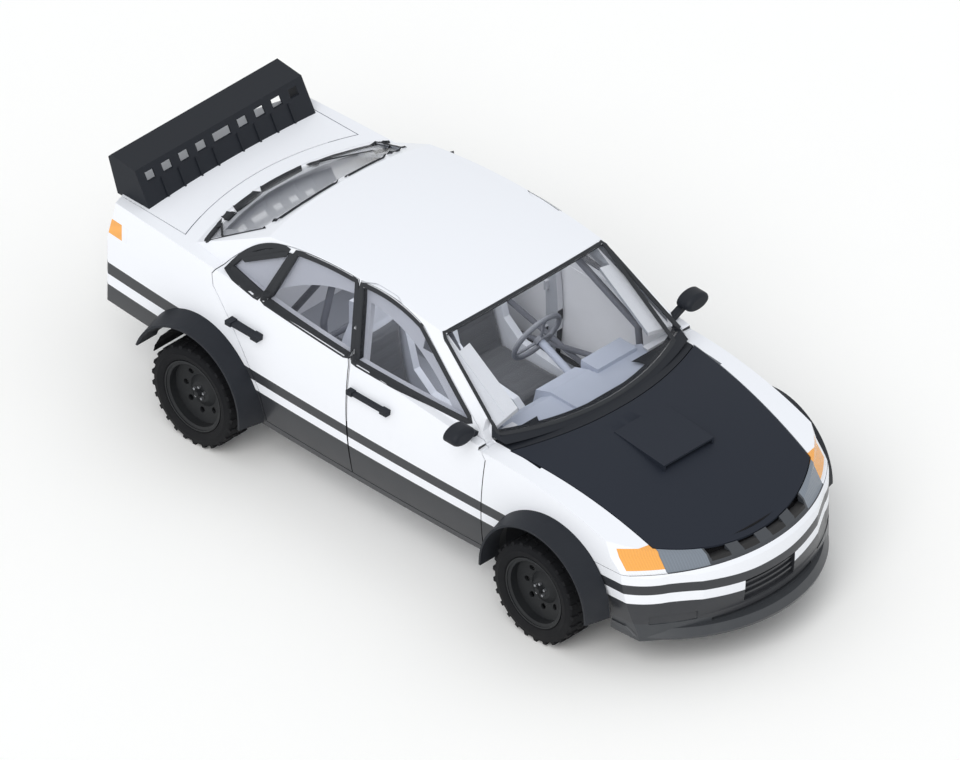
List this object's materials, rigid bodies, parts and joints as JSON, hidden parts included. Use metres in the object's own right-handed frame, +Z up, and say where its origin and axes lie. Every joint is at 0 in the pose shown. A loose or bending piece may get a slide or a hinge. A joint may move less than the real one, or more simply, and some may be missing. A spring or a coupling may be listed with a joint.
{
  "type": "rally car",
  "caption": "Four-door saloon rally car with roll cage, bucket seats, flared arches, lugged tyres on dished wheels, opening doors, bonnet and boot, and a tall rear wing.",
  "frame": {"origin": "on the ground under the middle of the bounding box", "axes": "+X forwards, +Y to the car's left, +Z up"},
  "size_m": [4.5919, 1.964, 1.5],
  "materials": {
    "white_paint": "gloss",
    "black_paint": "satin",
    "black_plastic": "matt",
    "tyre_rubber": "matt",
    "wheel_paint": "satin",
    "window_glass": "clear tinted",
    "lamp_glass": "clear over grey",
    "orange_lens": "gloss",
    "red_lens": "gloss",
    "cage_paint": "satin",
    "seat_shell": "gloss",
    "seat_fabric": "matt",
    "dash_plastic": "matt",
    "engine_metal": "satin",
    "chassis_steel": "satin"
  },
  "bodies": {
    "chassis": {"floor_pan": "chassis_steel", "bulkhead": "black_plastic", "body_side_left": "white_paint", "body_side_right": "white_paint", "roof_panel": "white_paint", "front_wings": "white_paint", "front_bumper": "white_paint", "rear_bumper": "white_paint", "parcel_shelf": "white_paint", "grille": "black_plastic", "head_lamps": "lamp_glass", "indicators": "orange_lens", "tail_lamps": "red_lens", "screens": "window_glass", "wheel_arch_flares": "black_plastic", "inner_arches": "chassis_steel", "roll_cage": "cage_paint", "dashboard": "dash_plastic", "seat_shells": "seat_shell", "seat_cushions": "seat_fabric", "engine_block": "engine_metal", "front_subframe": "chassis_steel", "rear_axle": "chassis_steel", "exhaust": "chassis_steel"},
    "bonnet": {"bonnet": "black_paint"},
    "boot": {"boot_lid": "white_paint", "rear_wing": "black_plastic"},
    "steering_wheel": {"steering_wheel": "black_plastic"},
    "door_front_left": {"door_front_left": "white_paint", "glass_front_left": "window_glass", "trim_front_left": "black_plastic"},
    "door_rear_left": {"door_rear_left": "white_paint", "glass_rear_left": "window_glass", "trim_rear_left": "black_plastic"},
    "knuckle_left": {"knuckle_left": "chassis_steel"},
    "wheel_front_left": {"tyre_front_left": "tyre_rubber", "rim_front_left": "wheel_paint"},
    "wheel_rear_left": {"tyre_rear_left": "tyre_rubber", "rim_rear_left": "wheel_paint"},
    "door_front_right": {"door_front_right": "white_paint", "glass_front_right": "window_glass", "trim_front_right": "black_plastic"},
    "door_rear_right": {"door_rear_right": "white_paint", "glass_rear_right": "window_glass", "trim_rear_right": "black_plastic"},
    "knuckle_right": {"knuckle_right": "chassis_steel"},
    "wheel_front_right": {"tyre_front_right": "tyre_rubber", "rim_front_right": "wheel_paint"},
    "wheel_rear_right": {"tyre_rear_right": "tyre_rubber", "rim_rear_right": "wheel_paint"}
  },
  "joints": [
    {"name": "bonnet_hinge", "type": "hinge", "parent": "chassis", "child": "bonnet", "pos_m": [0.926, 0, 1], "axis": [0, -1, 0], "range_deg": [0, 60]},
    {"name": "boot_hinge", "type": "hinge", "parent": "chassis", "child": "boot", "pos_m": [-1.615, 0, 1.132], "axis": [0, 1, 0], "range_deg": [0, 60]},
    {"name": "door_front_left_hinge", "type": "hinge", "parent": "chassis", "child": "door_front_left", "pos_m": [0.8425, 0.85, 0.7], "axis": [0, 0, -1], "range_deg": [0, 65]},
    {"name": "door_rear_left_hinge", "type": "hinge", "parent": "chassis", "child": "door_rear_left", "pos_m": [-0.185, 0.85, 0.7], "axis": [0, 0, -1], "range_deg": [0, 60]},
    {"name": "steer_left", "type": "hinge", "parent": "chassis", "child": "knuckle_left", "pos_m": [1.295, 0.731, 0.308], "axis": [0, -0.238, 0.9713], "range_deg": [-28, 28]},
    {"name": "wheel_front_left_spin", "type": "hinge", "parent": "knuckle_left", "child": "wheel_front_left", "pos_m": [1.295, 0.816, 0.308], "axis": [0, 1, 0], "continuous": true},
    {"name": "wheel_rear_left_spin", "type": "hinge", "parent": "chassis", "child": "wheel_rear_left", "pos_m": [-1.325, 0.816, 0.308], "axis": [0, 1, 0], "continuous": true},
    {"name": "door_front_right_hinge", "type": "hinge", "parent": "chassis", "child": "door_front_right", "pos_m": [0.8425, -0.85, 0.7], "axis": [0, 0, 1], "range_deg": [0, 65]},
    {"name": "door_rear_right_hinge", "type": "hinge", "parent": "chassis", "child": "door_rear_right", "pos_m": [-0.185, -0.85, 0.7], "axis": [0, 0, 1], "range_deg": [0, 60]},
    {"name": "steer_right", "type": "hinge", "parent": "chassis", "child": "knuckle_right", "pos_m": [1.295, -0.731, 0.308], "axis": [0, 0.238, 0.9713], "range_deg": [-28, 28]},
    {"name": "wheel_front_right_spin", "type": "hinge", "parent": "knuckle_right", "child": "wheel_front_right", "pos_m": [1.295, -0.816, 0.308], "axis": [0, 1, 0], "continuous": true},
    {"name": "wheel_rear_right_spin", "type": "hinge", "parent": "chassis", "child": "wheel_rear_right", "pos_m": [-1.325, -0.816, 0.308], "axis": [0, 1, 0], "continuous": true},
    {"name": "steering_wheel_turn", "type": "hinge", "parent": "chassis", "child": "steering_wheel", "pos_m": [0.095, 0.325, 0.804], "axis": [-0.9135, 0, 0.4067], "range_deg": [-395, 395]}
  ],
  "couplings": [
    {"joint": "steer_right", "follows": "steer_left", "ratio": 1},
    {"joint": "steering_wheel_turn", "follows": "steer_left", "ratio": 14}
  ]
}
